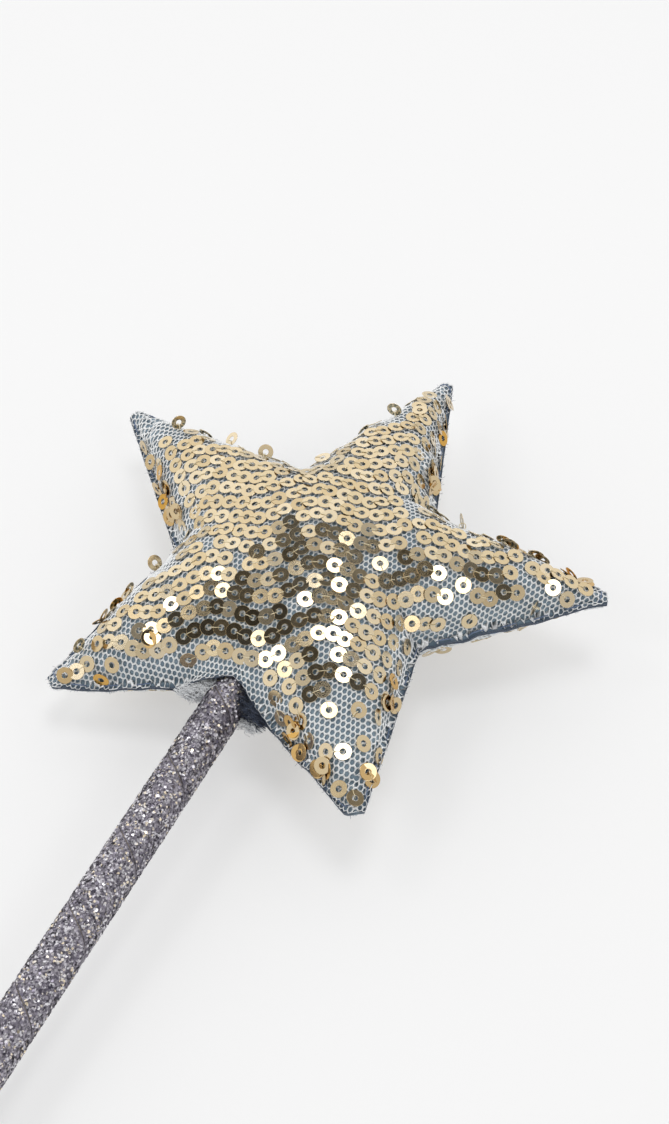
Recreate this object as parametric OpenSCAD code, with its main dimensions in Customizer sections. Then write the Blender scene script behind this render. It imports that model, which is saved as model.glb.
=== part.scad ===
// Toy magic wand: a stuffed five-pointed star of sequinned net on a stick wound with glitter tape.
// It lies on a table: +Z is up, the stick runs along Y, and the star is at the +Y end.

/* [Stick] */
// Diameter of the wooden dowel
dowel_d = 9.5; // [8:0.1:11]
// Length of stick that shows below the star
stick_shows = 237; // [180:1:280]
// How far the dowel's hidden end lies past the star's centre
dowel_past = 8; // [2:1:14]
// Bevel round the dowel's ends
dowel_bevel = 0.6; // [0.2:0.1:1.2]

/* [Glitter tape] */
// Thickness of the tape
tape_t = 0.3; // [0.2:0.05:0.5]
// Advance along the stick in one turn
tape_pitch = 21; // [17:0.5:26]
// Open seam between neighbouring turns, along the stick
tape_seam = 0.65; // [0.55:0.05:1]
// Glue line between the dowel and the tape
tape_fit = 0.04; // [0.02:0.01:0.08]
// Length of the straight closing turn at the butt
band_len = 14; // [10:1:20]
// Bare wood left at each end of the dowel
bare_end = 1; // [0.8:0.1:3]

/* [Star outline] */
// From the star's centre to each blunt tip
tip_r = 72; // [66:1:80]
// From the star's centre to each notch between the arms
notch_r = 36; // [33:1:39]
// How much further out the upper right, lower right, stick's, lower left and upper left notches lie
notch_reaches = [-3, 0, 5, 1, -7]; // [-10:0.5:7]
// Width of a blunt tip
tip_w = 3.8; // [2.5:0.1:5]
// Flat seam allowance round the edge
flange_w = 1.6; // [1.2:0.1:2.2]

/* [Star filling] */
// Rise of the front panel above the seam at the middle
front_rise = 17; // [14:0.5:20]
// Depth of the back panel below the seam at the middle, before the table flattens it
back_rise = 16.5; // [14:0.5:19]
// Rounding of the valleys that run from the middle to the notches, in degrees
valley_soft = 30; // [15:1:36]
// How far the table flattens the back
rest_sink = 1.5; // [0.5:0.1:2.5]
// Roundness of the flattened patch's edge
rest_soft = 1; // [0.5:0.1:2]
// Rise of the seam for each mm to the right of the stick
side_lean = 0.05; // [0:0.01:0.08]
// Lift of the top, right, lower right, lower left and left tips
tip_lifts = [-2, 1.5, 1, -2.5, 2.5]; // [-4:0.5:4]

/* [Layers] */
// Thickness of the backing cloth
cloth_t = 0.7; // [0.5:0.05:1]
// Thickness of the net
net_t = 0.25; // [0.15:0.05:0.4]
// Room between layers
layer_gap = 0.1; // [0.06:0.02:0.2]
// Room between the filling and the cloth
fill_gap = 0.2; // [0.1:0.05:0.4]

/* [Neck] */
// Room round the stick where it goes in between the panels
neck_fit = 0.9; // [0.7:0.1:1.4]
// Half the width of the open seam, in stick radii
neck_spread = 2.6; // [2.4:0.1:3]
// How far inside the seam the glue collar starts
glue_inset = 2; // [1:0.5:4]
// Length of the glue collar
glue_len = 8; // [5:0.5:12]
// Room between the glue collar and its neighbours
glue_fit = 0.12; // [0.08:0.02:0.2]
// Room round the stick inside the filling
bore_fit = 0.25; // [0.15:0.05:0.5]

/* [Seam thread] */
// Radius of the sewing thread
thread_r = 0.15; // [0.1:0.05:0.25]
// Length of one stitch
stitch_len = 4; // [3:0.25:6]

/* [Sequins] */
// Outer diameter of a sequin
sequin_d = 4; // [3.6:0.1:4.2]
// Diameter of its hole
sequin_hole = 1.5; // [1.2:0.1:1.8]
// Thickness of the film
sequin_t = 0.15; // [0.1:0.05:0.2]
// Room between a sequin and the net
sequin_gap = 0.3; // [0.2:0.05:0.4]
// Distance between sequins along a row
row_step = 3.1; // [3:0.1:4.4]
// Distance between rows
row_gap = 4.6; // [4.5:0.05:5.4]
// Direction of the rows, turned from the X axis
row_turn = 27; // [0:1:45]
// Tilt of each sequin, which laps it over the next one in its row
lap_tilt = 10; // [9:0.5:12]
// Sideways sway of the rows
row_sway = 2; // [0:0.1:2.2]
// Length of one sway
sway_len = 27; // [26:1:44]
// Bare margin from a sequin's middle to the star's edge
edge_bare = 2.7; // [2.4:0.1:4]
// Most that a sequin may stand off a bent stretch of net before it is left out
stand_off = 0.42; // [0.3:0.02:0.6]
// Share of sequins missing all over
worn_share = 0.06; // [0:0.01:0.2]
// Share of sequins left in a bare patch
patch_share = 0.15; // [0:0.01:0.5]
// Radius of the group of sequins in the middle of each side
middle_r = 21; // [18:1:24]

/* [Loose sequins] */
// Radius of the thread in a loop
loop_thread_r = 0.11; // [0.08:0.01:0.14]
// Room between a loop and the rim of the sequin inside it
loop_fit = 0.12; // [0.08:0.01:0.16]
// Lowest tilt of a loose sequin from the cloth
loose_low = 20; // [15:1:30]
// Highest tilt of a loose sequin, past upright
loose_high = 150; // [120:1:160]
// Distance kept free of other sequins round a loose one
loose_clear = 4.4; // [4.2:0.1:5]

/* [Hidden] */
$fn = 48;
ARMS = 5;
ARM_TURN = 360 / ARMS;
HALF_TURN = ARM_TURN / 2;
ARM_NAMES = ["top", "right", "lower_right", "lower_left", "left"];
LOOP_SIDES = 24;
SWELL_ALONG = 1.4;
SWELL_ACROSS = 0.8;
VALLEY_FADE = 0.6;
BLEND = 3;
NECK_TURN = 180;
NECK_NOTCH = 2;
RINGS = [0.22, 0.44, 0.62, 0.77, 0.88];
SMALL = 0.001;
FRONT = 1;
BACK = -1;

// Bare patches on the front: turn from the top tip, inset from the outline, radius
PATCHES = [
    [146, 21, 7], [144, 4, 8], [76, 13, 6], [85, 2, 5], [95, 1, 5], [200, 2, 6], [207, 2, 6], [216, 2, 5],
    [288, 4, 8], [280, 2, 5], [271, 2, 5]
];

// Loose sequins: turn from the top tip, inset from the outline, turn of the hinge, tilt at rest
LOOSE = [
    [356, 14, 40, 75], [306, 6, 100, 80], [298, 7, 60, 95], [54, 8, 30, 60], [79, 5, 150, 55],
    [141, 18, 20, 40], [290, 13, 120, 80], [218, 9, 70, 65], [238, 5, 90, 80]
];
LOOSE_NODES = [for (i = [0:len(LOOSE) - 1]) str("loose_sequin_", i + 1)];

// Stick sizes and its place on the table
dowel_r = dowel_d / 2;
tape_in_r = (dowel_r + tape_fit) / cos(180 / LOOP_SIDES);
stick_r = tape_in_r + tape_t;
neck_notch_r = notch_r + notch_reaches[NECK_NOTCH];
dowel_len = stick_shows + neck_notch_r + dowel_past;
sequin_r = sequin_d / 2;
rest_room = sequin_gap + sequin_t + sequin_d * sin(lap_tilt);
rest_round = (norm([rest_sink, rest_soft]) - rest_sink) / 2;
seam_z = back_rise - rest_sink + cloth_t + net_t + 2 * layer_gap + rest_room;
stick_tilt = asin((seam_z - stick_r) / stick_shows);
star_y = (neck_notch_r + stick_shows * cos(stick_tilt) + stick_r * sin(stick_tilt) - tip_r) / 2;
mouth_y = star_y - neck_notch_r;
stick_butt = [0, mouth_y - stick_shows * cos(stick_tilt), stick_r * cos(stick_tilt)];

// Outline of the star: each edge runs from a sharp tip, cut blunt, to a notch
TIP_TRIES = 40;
TIP_MOST = 1.5;
function edge_rate(r, notch) = (r - notch * cos(HALF_TURN)) / (r * notch * sin(HALF_TURN));
function blunt_w(r) = 2 * (1 - tip_r / r) / edge_rate(r, notch_r);
function find_tip(low, high, tries) =
    let (mid = (low + high) / 2)
    tries == 0 ? mid
    : blunt_w(mid) < tip_w ? find_tip(mid, high, tries - 1) : find_tip(low, mid, tries - 1);
sharp_r = find_tip(tip_r, tip_r * TIP_MOST, TIP_TRIES);
rates = [for (reach = notch_reaches) edge_rate(sharp_r, notch_r + reach)];
function rate(turn) = rates[(floor(turn / ARM_TURN) + ARMS) % ARMS];
function edge_dist(turn) = 1 / norm([1 / sharp_r, rate(turn)]);
plain_dist = 1 / norm([1 / sharp_r, edge_rate(sharp_r, notch_r)]);
pillow_share = 1 - flange_w / plain_dist;
blunt_turn = atan2(tip_w / 2, tip_r);

// Place of a point within its own arm: arm number, turn from the arm's axis, way along it, way across it
function turn_of(p) = atan2(p.x, p.y);
function arm_of(p) = round(turn_of(p) / ARM_TURN);
function arm_turn(p) = turn_of(p) - ARM_TURN * arm_of(p);
function outline_r(turn) =
    let (off = turn - ARM_TURN * round(turn / ARM_TURN))
    min(tip_r / cos(off), 1 / (cos(off) / sharp_r + rate(turn) * abs(sin(off))));
function polar(turn, r) = [r * sin(turn), r * cos(turn)];
function edge_room(p) =
    let (off = arm_turn(p), turn = turn_of(p), r = norm(p))
    edge_dist(turn) * (1 - r * cos(off) / sharp_r - rate(turn) * r * abs(sin(off)));

// Swell of the cushion from 0 at the seam to 1 at the middle: crowned along and across each arm
function valley_turn(p) =
    let (inside = max(0, 1 - norm(p) / outline_r(turn_of(p)) / pillow_share))
    max(0, HALF_TURN - norm([HALF_TURN - abs(arm_turn(p)), valley_soft * pow(inside, VALLEY_FADE)]));
function swell(p) =
    let (off = valley_turn(p), r = norm(p))
    let (along = min(1, r * cos(off) / (sharp_r * pillow_share)))
    let (across = min(1, r * sin(off) * rate(turn_of(p)) / pillow_share / max(SMALL, 1 - along)))
    (1 - pow(along, SWELL_ALONG)) * pow(1 - across * across, SWELL_ACROSS);

// Bulge of the panels over the stick at the neck
neck_r = stick_r + neck_fit;
neck_half = neck_r * neck_spread;
function neck(p) =
    p.y > 0 || abs(p.x) > neck_half ? 0
    : neck_r * (1 + cos(180 * p.x / neck_half)) / 2 * min(1, -p.y / (notch_r / 2));
function both(a, b) = pow(pow(a, BLEND) + pow(b, BLEND), 1 / BLEND);

// Heights above the table at a point of the star's plan
function seam(p) =
    let (off = arm_turn(p), arm = (arm_of(p) + ARMS) % ARMS)
    seam_z + side_lean * p.x + tip_lifts[arm] * pow(norm(p) / tip_r * cos(90 / HALF_TURN * off), 2);
function floored(z, floor_z) = floor_z + ((z - floor_z) + norm([z - floor_z, rest_soft])) / 2;
function front_z(p, rise) = seam(p) + both(front_rise * swell(p), neck(p)) + layer_gap / 2 + rise;
function back_z(p, drop) =
    let (free_z = seam(p) - both(back_rise * swell(p), neck(p)) - layer_gap / 2)
    floored(free_z, rest_room + net_out - rest_round) - drop;
function side_z(side, p, out) = side == FRONT ? front_z(p, out) : back_z(p, out);
net_out = cloth_t + layer_gap + net_t;

// Directions of the grid that the panels are built on, closer together at the neck
PLAIN_STEPS = [10, 25];
NECK_STEPS = [9, 18, 26, 31];
function mirrored(steps) = [for (i = [len(steps) - 1:-1:0]) -steps[i]];
function arm_steps(arm) = concat(
    [-HALF_TURN],
    mirrored(arm == 3 ? NECK_STEPS : PLAIN_STEPS),
    [-blunt_turn, 0, blunt_turn],
    arm == 2 ? NECK_STEPS : PLAIN_STEPS
);
TURNS = [for (arm = [0:ARMS - 1]) for (off = arm_steps(arm)) arm * ARM_TURN + off];
SIDES = len(TURNS);
function grid(shares) = concat(
    [[0, 0]],
    [for (share = shares) for (turn = TURNS) polar(turn, share * outline_r(turn))]
);
function up(points, side, out) = [for (p = points) [p.x, p.y, side_z(side, p, out)]];

// Triangles of one grid: a fan at the middle, then bands; and the band between two grids' rims
function fan(first) = [for (i = [0:SIDES - 1]) [first, first + 1 + (i + 1) % SIDES, first + 1 + i]];
function band(a, b) = [for (i = [0:SIDES - 1])
    let (j = (i + 1) % SIDES)
    each [[a + i, a + j, b + i], [a + j, b + j, b + i]]];
function sheet(first, rings) = concat(
    fan(first),
    [for (k = [0:rings - 2]) each band(first + 1 + k * SIDES, first + 1 + (k + 1) * SIDES)]
);
function flipped(faces) = [for (f = faces) [f[0], f[2], f[1]]];

module slab(upper, lower, rings) {
    count = len(upper);
    rim = 1 + (rings - 1) * SIDES;
    polyhedron(
        concat(upper, lower),
        concat(
            sheet(0, rings),
            flipped(sheet(count, rings)),
            band(rim, count + rim)
        )
    );
}

// One panel layer between two distances out from the seam
PANEL_RINGS = concat(RINGS, [pillow_share, 1]);
module panel(side, inner, outer) {
    points = grid(PANEL_RINGS);
    high = side == FRONT ? outer : inner;
    low = side == FRONT ? inner : outer;
    translate([0, star_y, 0])
        slab(up(points, side, high), up(points, side, low), len(PANEL_RINGS));
}

module front_cloth() {
    color("#6f86a6") panel(FRONT, 0, cloth_t);
}

module back_cloth() {
    color("#6f86a6") panel(BACK, 0, cloth_t);
}

module front_net() {
    color("#d9dde4") panel(FRONT, cloth_t + layer_gap, net_out);
}

module back_net() {
    color("#d9dde4") panel(BACK, cloth_t + layer_gap, net_out);
}

// Frame of the stick: its axis is local Z, from the butt towards the star
module on_stick() {
    translate(stick_butt)
        rotate([stick_tilt - 90, 0, 0])
            children();
}

module stick_core() {
    color("#c9a877")
        on_stick()
            rotate_extrude()
                polygon([
                    [0, 0], [dowel_r - dowel_bevel, 0], [dowel_r, dowel_bevel],
                    [dowel_r, dowel_len - dowel_bevel], [dowel_r - dowel_bevel, dowel_len], [0, dowel_len]
                ]);
}

module ring(inner_r, outer_r, length) {
    rotate_extrude()
        translate([inner_r, 0])
            square([outer_r - inner_r, length]);
}

module butt_band() {
    color("#8d8a96")
        on_stick()
            translate([0, 0, bare_end])
                ring(dowel_r + tape_fit, stick_r, band_len);
}

// The tape is one band wound from the closing turn to the dowel's hidden end, trimmed square at both
tape_low = bare_end + band_len + tape_seam / 2;
tape_high = dowel_len - bare_end;
tape_w = tape_pitch - tape_seam;
tape_turns = (tape_high - tape_low + tape_w) / tape_pitch;
tape_steps = floor(tape_turns * LOOP_SIDES) - 1;
function tape_edge(step, offset) =
    min(tape_high, max(tape_low, tape_low - tape_w + tape_pitch * (step + 0.5) / LOOP_SIDES + offset));
function tape_point(step, offset, r) =
    let (turn = -step * 360 / LOOP_SIDES)
    [r * cos(turn), r * sin(turn), tape_edge(step, offset)];
function tape_section(step) = [
    tape_point(step, 0, tape_in_r), tape_point(step, tape_w, tape_in_r),
    tape_point(step, tape_w, stick_r), tape_point(step, 0, stick_r)
];
function tube_band(k) = [for (i = [0:3])
    let (j = (i + 1) % 4)
    each [[4 * k + i, 4 * k + 4 + i, 4 * k + j], [4 * k + j, 4 * k + 4 + i, 4 * k + 4 + j]]];
function tube_faces(sections) =
    let (last = 4 * (sections - 1))
    concat(
        [[0, 1, 2], [0, 2, 3]],
        [for (k = [0:sections - 2]) each tube_band(k)],
        [[last, last + 2, last + 1], [last, last + 3, last + 2]]
    );
GAP_REACH = 6;
tape_gap = min([
    for (step = [LOOP_SIDES:tape_steps - 2 * LOOP_SIDES])
        for (shift = [-GAP_REACH:GAP_REACH])
            norm(tape_point(step, tape_w, stick_r) - tape_point(step + LOOP_SIDES + shift, 0, stick_r))
]);
echo(tape_turns = tape_turns, tape_gap_to_itself_mm = tape_gap);

module glitter_wrap() {
    color("#8d8a96")
        on_stick()
            polyhedron(
                [for (step = [0:tape_steps]) each tape_section(step)],
                tube_faces(tape_steps + 1)
            );
}

glue_r = stick_r + neck_fit - 2 * glue_fit;
module glue_collar() {
    color("#dfe3dc")
        on_stick()
            translate([0, 0, stick_shows + glue_inset])
                ring(stick_r + glue_fit, glue_r, glue_len);
}

// Filling: it follows the panels up to their seam's slope, with room for the stick and its glue
function fill_top(p) = [p.x, p.y, seam(p) + front_rise * swell(p) - fill_gap];
function fill_bottom(p) = [p.x, p.y, back_z(p, -fill_gap)];

module stuffing() {
    points = grid(RINGS);
    color("#eef0ee")
        difference() {
            translate([0, star_y, 0])
                slab([for (p = points) fill_top(p)], [for (p = points) fill_bottom(p)], len(RINGS));
            on_stick()
                translate([0, 0, stick_shows]) {
                    cylinder(r = stick_r + bore_fit, h = neck_notch_r + dowel_past + bore_fit);
                    cylinder(r = glue_r + glue_fit, h = glue_inset + glue_len + glue_fit);
                }
        }
}

// Running stitch along the seam allowance, from one side of the neck round to the other
stitch_from = NECK_TURN + atan2(neck_half, neck_notch_r) - 360;
stitch_to = NECK_TURN - atan2(neck_half, neck_notch_r);
stitch_share = 1 - flange_w / 2 / plain_dist;
function stitch_place(turn) = polar(turn, stitch_share * outline_r(turn));
STITCH_FINE = 400;
stitch_turns = [for (k = [0:STITCH_FINE]) stitch_from + (stitch_to - stitch_from) * k / STITCH_FINE];
stitch_points = [for (turn = stitch_turns) stitch_place(turn)];
stitch_runs = [for (k = [0:STITCH_FINE]) k == 0 ? 0 : norm(stitch_points[k] - stitch_points[k - 1])];
function way_from(k, way) =
    k > STITCH_FINE ? [] : concat([way + stitch_runs[k]], way_from(k + 1, way + stitch_runs[k]));
stitch_way = way_from(0, 0);
stitches = 2 * floor(stitch_way[STITCH_FINE] / stitch_len / 2);
way_to_turn = [for (k = [0:STITCH_FINE]) [stitch_way[k], stitch_turns[k]]];
function stitch_at(i) = stitch_place(lookup(stitch_way[STITCH_FINE] * i / stitches, way_to_turn));
function stitch_ring(p, along, side, lead) =
    let (z = side_z(side, p, net_out + thread_r), t = [along.x, along.y, 0] / norm(along))
    let (m = [-t.y, t.x, 0], miter = lead * t + [0, 0, 1], c = [p.x, p.y, z])
    [c + thread_r * m, c + thread_r * miter, c - thread_r * m, c - thread_r * miter];

module seam_thread() {
    places = [for (i = [0:stitches]) stitch_at(i)];
    rings = [for (i = [0:stitches - 1])
        let (here = places[i], next = places[i + 1], along = next - here, side = i % 2 == 0 ? FRONT : BACK)
        each [stitch_ring(here, along, side, -side), stitch_ring(next, along, side, side)]];
    color("#5f7392")
        translate([0, star_y, 0])
            polyhedron([for (r = rings) each r], tube_faces(len(rings)));
}

// A point of the net and the direction square to it, out of that side of the star
SLOPE_STEP = 1.5;
function on_net(side, p) = [p.x, p.y, side_z(side, p, net_out)];
function net_normal(side, p) =
    let (dx = side_z(side, p + [SLOPE_STEP, 0], 0) - side_z(side, p - [SLOPE_STEP, 0], 0))
    let (dy = side_z(side, p + [0, SLOPE_STEP], 0) - side_z(side, p - [0, SLOPE_STEP], 0))
    let (n = [-dx, -dy, 2 * SLOPE_STEP])
    side * n / norm(n);
function tipped(n, along, angle) =
    let (flat = along - (along * n) * n)
    n * cos(angle) - flat / norm(flat) * sin(angle);

// Rows of sequins: each sways, and a seeded number decides which places are empty
row_dir = [cos(row_turn), sin(row_turn)];
row_side = [-sin(row_turn), cos(row_turn)];
rows = ceil(sharp_r / row_gap);
per_row = ceil(sharp_r / row_step);
SEED = [137, 7001, 31];
SEED_FROM = 5019;
SWAY_SHIFT = 5;
function chance(side, i, j) = rands(0, 1, 1, SEED_FROM + SEED * [i, j, side])[0];
function site(side, i, j) =
    let (a = (i + (j % 2 == 0 ? 0 : 0.5)) * row_step)
    let (b = j * row_gap + row_sway * sin(360 * a / sway_len + SWAY_SHIFT * j + 90 * side))
    a * row_dir + b * row_side;
function patch_place(patch) = polar(patch[0], outline_r(patch[0]) - patch[1]);
function in_patch(p) = len([for (patch = PATCHES) if (norm(p - patch_place(patch)) < patch[2]) 1]) > 0;
function loose_place(loose) = polar(loose[0], outline_r(loose[0]) - loose[1]);
function near_loose(p) = len([for (loose = LOOSE) if (norm(p - loose_place(loose)) < loose_clear) 1]) > 0;
function kept(side, p, i, j) =
    edge_room(p) > edge_bare && norm(p) < tip_r - edge_bare
    && chance(side, i, j) > worn_share
    && (side == BACK || (!near_loose(p) && (!in_patch(p) || chance(side, i, j) > 1 - patch_share)));
function sites(side, middle, arm) = [
    for (j = [-rows:rows]) for (i = [-per_row:per_row])
        let (p = site(side, i, j))
        if ((norm(p) < middle_r) == middle && (middle || (arm_of(p) + ARMS) % ARMS == arm))
            if (kept(side, p, i, j) && rim_lift(side, on_net(side, p), lapped(side, p)) < stand_off) p
];
function lapped(side, p) = tipped(net_normal(side, p), [row_dir.x, row_dir.y, 0], lap_tilt);

// Height that a tilted sequin needs so that its rim clears the net
RIM_POINTS = 8;
function rim_point(c, n, i) =
    let (x = cross([0, 1, 0], n), y = cross(n, x))
    c + sequin_r * (cos(360 * i / RIM_POINTS) * x / norm(x) + sin(360 * i / RIM_POINTS) * y / norm(y));
function rim_lift(side, c, n) = max([for (i = [0:RIM_POINTS - 1])
    let (q = rim_point(c, n, i))
    side * (side_z(side, [q.x, q.y], net_out) - q.z) * abs(n.z)]);

module sequin() {
    translate([0, 0, -sequin_t / 2]) ring(sequin_hole / 2, sequin_r, sequin_t);
}

module face_along(n) {
    rotate([0, acos(n.z), atan2(n.y, n.x)]) children();
}

module sequins(side, middle, arm) {
    color("#c9a54e")
        translate([0, star_y, 0])
            for (p = sites(side, middle, arm)) {
                n = lapped(side, p);
                c = on_net(side, p);
                lift = max(0, rim_lift(side, c, n)) + sequin_gap + sequin_t / 2;
                translate(c + lift * net_normal(side, p)) face_along(n) sequin();
            }
}

// A loose sequin hangs by its rim in a thread loop and turns about the loop's axis
rim_w = (sequin_d - sequin_hole) / 2;
loop_in_r = norm([rim_w / 2, sequin_t / 2]) + loop_fit;
loop_r = loop_in_r + loop_thread_r;
hinge_rise = rim_w / 2 + 1.5 * loop_fit;
loop_arc = 180 + 2 * asin((hinge_rise - loop_thread_r) / loop_r);
hinge_to_middle = sequin_hole / 2 + rim_w / 2;
function turn_z(v, a) = [v.x * cos(a) - v.y * sin(a), v.x * sin(a) + v.y * cos(a), v.z];
function turn_y(v, a) = [v.x * cos(a) + v.z * sin(a), v.y, v.z * cos(a) - v.x * sin(a)];
function hinge_axis(loose) =
    let (n = net_normal(FRONT, loose_place(loose)))
    turn_z(turn_y([cos(loose[2]), sin(loose[2]), 0], acos(n.z)), atan2(n.y, n.x));
function hinge_place(loose) =
    let (p = loose_place(loose))
    on_net(FRONT, p) + [0, star_y, 0] + hinge_rise * net_normal(FRONT, p);

module at_hinge(loose) {
    n = net_normal(FRONT, loose_place(loose));
    translate(hinge_place(loose)) face_along(n) rotate([0, 0, loose[2]]) children();
}

module loose_sequin(loose) {
    color("#d6b25a")
        at_hinge(loose)
            rotate([loose[3], 0, 0])
                translate([0, hinge_to_middle, 0])
                    sequin();
}

module sequin_loops() {
    color("#e6d9b4")
        for (loose = LOOSE)
            at_hinge(loose)
                rotate([0, 90, 0])
                    rotate([0, 0, 180 - loop_arc / 2])
                        rotate_extrude(angle = loop_arc)
                            translate([loop_r, 0])
                                circle(r = loop_thread_r);
}

for (i = [0:len(LOOSE) - 1])
    echo(
        LOOSE_NODES[i], pos_mm = hinge_place(LOOSE[i]), axis = hinge_axis(LOOSE[i]),
        range_deg = [loose_low - LOOSE[i][3], loose_high - LOOSE[i][3]]
    );
echo(
    butt_mm = stick_butt, tilt_deg = stick_tilt, pin_r_mm = stick_r, star_y = star_y, seam_z = seam_z
);

stick_core();
glitter_wrap();
butt_band();
glue_collar();
stuffing();
front_cloth();
back_cloth();
front_net();
back_net();
seam_thread();
sequins(FRONT, true, 0);  // front_sequins_middle
sequins(BACK, true, 0);  // back_sequins_middle
sequin_loops();
for (arm = [0:ARMS - 1]) {
    sequins(FRONT, false, arm);
    sequins(BACK, false, arm);
}
for (i = [0:len(LOOSE) - 1])
    loose_sequin(LOOSE[i]);
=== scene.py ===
"""Toy magic wand: a stuffed star of sequinned net on a stick wound with glitter tape, lying on a table.

Lengths are in millimetres until mesh_piece turns them into Blender's metres. Points of the star's plan
are measured from the star's centre, and turns round it are in degrees, clockwise from the top arm.
"""

import math

import bmesh
import bpy
import numpy as np
from mathutils import Matrix, Vector
from mathutils.bvhtree import BVHTree


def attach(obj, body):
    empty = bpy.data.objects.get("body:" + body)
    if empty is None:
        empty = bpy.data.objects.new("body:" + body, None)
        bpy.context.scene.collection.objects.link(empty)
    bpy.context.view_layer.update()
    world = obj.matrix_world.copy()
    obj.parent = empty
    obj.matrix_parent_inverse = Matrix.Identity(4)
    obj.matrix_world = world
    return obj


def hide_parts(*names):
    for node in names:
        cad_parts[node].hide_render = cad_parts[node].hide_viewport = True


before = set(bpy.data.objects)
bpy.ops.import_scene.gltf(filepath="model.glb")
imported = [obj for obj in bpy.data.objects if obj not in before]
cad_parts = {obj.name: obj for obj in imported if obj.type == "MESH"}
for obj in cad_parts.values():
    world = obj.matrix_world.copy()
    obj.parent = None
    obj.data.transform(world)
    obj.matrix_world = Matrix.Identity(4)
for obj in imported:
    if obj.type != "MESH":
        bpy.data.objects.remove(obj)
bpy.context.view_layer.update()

MM = 0.001

# Star, the same sizes as in the CAD source
ARMS = 5
ARM_TURN = 360 / ARMS
HALF_TURN = ARM_TURN / 2
ARM_NAMES = ["top", "right", "lower_right", "lower_left", "left"]
FRONT = 1
BACK = -1
TIP_R = 72.0
NOTCH_R = 36.0
NOTCH_REACHES = np.array([-3.0, 0.0, 5.0, 1.0, -7.0])
NECK_NOTCH = 2
NECK_NOTCH_R = NOTCH_R + NOTCH_REACHES[NECK_NOTCH]
TIP_W = 3.8
FLANGE_W = 1.6
FRONT_RISE = 17.0
BACK_RISE = 16.5
VALLEY_SOFT = 30.0
REST_SINK = 1.5
REST_SOFT = 1.0
SIDE_LEAN = 0.05
TIP_LIFTS = np.array([-2.0, 1.5, 1.0, -2.5, 2.5])
SWELL_ALONG = 1.4
SWELL_ACROSS = 0.8
VALLEY_FADE = 0.6
BLEND = 3

# Layers
CLOTH_T = 0.7
NET_T = 0.25
LAYER_GAP = 0.1
NET_OUT = CLOTH_T + LAYER_GAP + NET_T
TABLE_ROOM = 0.5
FILM_ROOM = 0.03
RIM_THIN = 0.4
RIM_REACH = 3.0

# Stick
DOWEL_D = 9.5
STICK_SHOWS = 237.0
DOWEL_PAST = 8.0
TAPE_T = 0.3
TAPE_PITCH = 21.0
TAPE_SEAM = 0.65
TAPE_FIT = 0.04
BAND_LEN = 14.0
BARE_END = 1.0
CAD_SIDES = 24
NECK_FIT = 0.9
NECK_SPREAD = 2.6

# Sequins
SEQUIN_D = 4.0
SEQUIN_HOLE = 1.5
SEQUIN_T = 0.15
SEQUIN_GAP = 0.3
LAP_TILT = 10.0

# Places that follow from these sizes
DOWEL_R = DOWEL_D / 2
TAPE_IN_R = (DOWEL_R + TAPE_FIT) / math.cos(math.pi / CAD_SIDES)
STICK_R = TAPE_IN_R + TAPE_T
DOWEL_LEN = STICK_SHOWS + NECK_NOTCH_R + DOWEL_PAST
SEQUIN_R = SEQUIN_D / 2
REST_ROOM = SEQUIN_GAP + SEQUIN_T + SEQUIN_D * math.sin(math.radians(LAP_TILT))
REST_ROUND = (math.hypot(REST_SINK, REST_SOFT) - REST_SINK) / 2
SEAM_Z = BACK_RISE - REST_SINK + CLOTH_T + NET_T + 2 * LAYER_GAP + REST_ROOM
STICK_TILT = math.asin((SEAM_Z - STICK_R) / STICK_SHOWS)
STICK_RUN = STICK_SHOWS * math.cos(STICK_TILT)
STAR_Y = (NECK_NOTCH_R + STICK_RUN + STICK_R * math.sin(STICK_TILT) - TIP_R) / 2
MOUTH_Y = STAR_Y - NECK_NOTCH_R
STICK_BUTT = np.array([0, MOUTH_Y - STICK_RUN, STICK_R * math.cos(STICK_TILT)])
NECK_R = STICK_R + NECK_FIT
NECK_HALF = NECK_R * NECK_SPREAD

# Camera, fitted to the photograph's tips, notches and stick
PHOTO_HIGH = 1124
FOCAL_PIXELS = 1872
SENSOR = 36.0
CAMERA_AT = (143.48, -137.66, 393.17)
CAMERA_RIGHT = (0.87584, 0.48238, -0.01474)
CAMERA_DOWN = (0.37814, -0.70492, -0.60008)


# Meshes

def mesh_piece(name, points, faces, smooth=True):
    """A mesh object from points in millimetres and face arrays, one array for each corner count."""
    mesh = bpy.data.meshes.new(name)
    mesh.from_pydata((points * MM).tolist(), [], [face for kind in faces for face in kind.tolist()])
    mesh.update(calc_edges=True)
    mesh.validate()
    if smooth:
        mesh.shade_smooth()
    piece = bpy.data.objects.new(name, mesh)
    bpy.context.scene.collection.objects.link(piece)
    return piece


def finish_piece(piece, materials, body, replaced=()):
    """Gives a piece its materials, its body and the CAD nodes that it stands for."""
    piece.data.materials.clear()
    for material in materials:
        piece.data.materials.append(material)
    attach(piece, body)
    if replaced:
        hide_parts(*replaced)


def add_values(piece, name, domain, values):
    """A number for each point or face, for the materials to read."""
    attribute = piece.data.attributes.new(name, "FLOAT", domain)
    attribute.data.foreach_set("value", np.asarray(values, np.float32))


def unit(v):
    return v / np.maximum(np.linalg.norm(v, axis=-1, keepdims=True), 1e-9)


def raised(plan, z):
    """Points at heights z over places of the star's plan."""
    return np.column_stack([plan[:, 0], plan[:, 1] + STAR_Y, z])


def cross_2d(a, b):
    return a[:, 0] * b[:, 1] - a[:, 1] * b[:, 0]


def across_of(n):
    """Two directions square to each direction in n and to each other."""
    helper = np.where(np.abs(n[:, 1:2]) < 0.9, [[0.0, 1.0, 0.0]], [[1.0, 0.0, 0.0]])
    x = unit(np.cross(helper, n))
    return x, np.cross(n, x)


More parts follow.
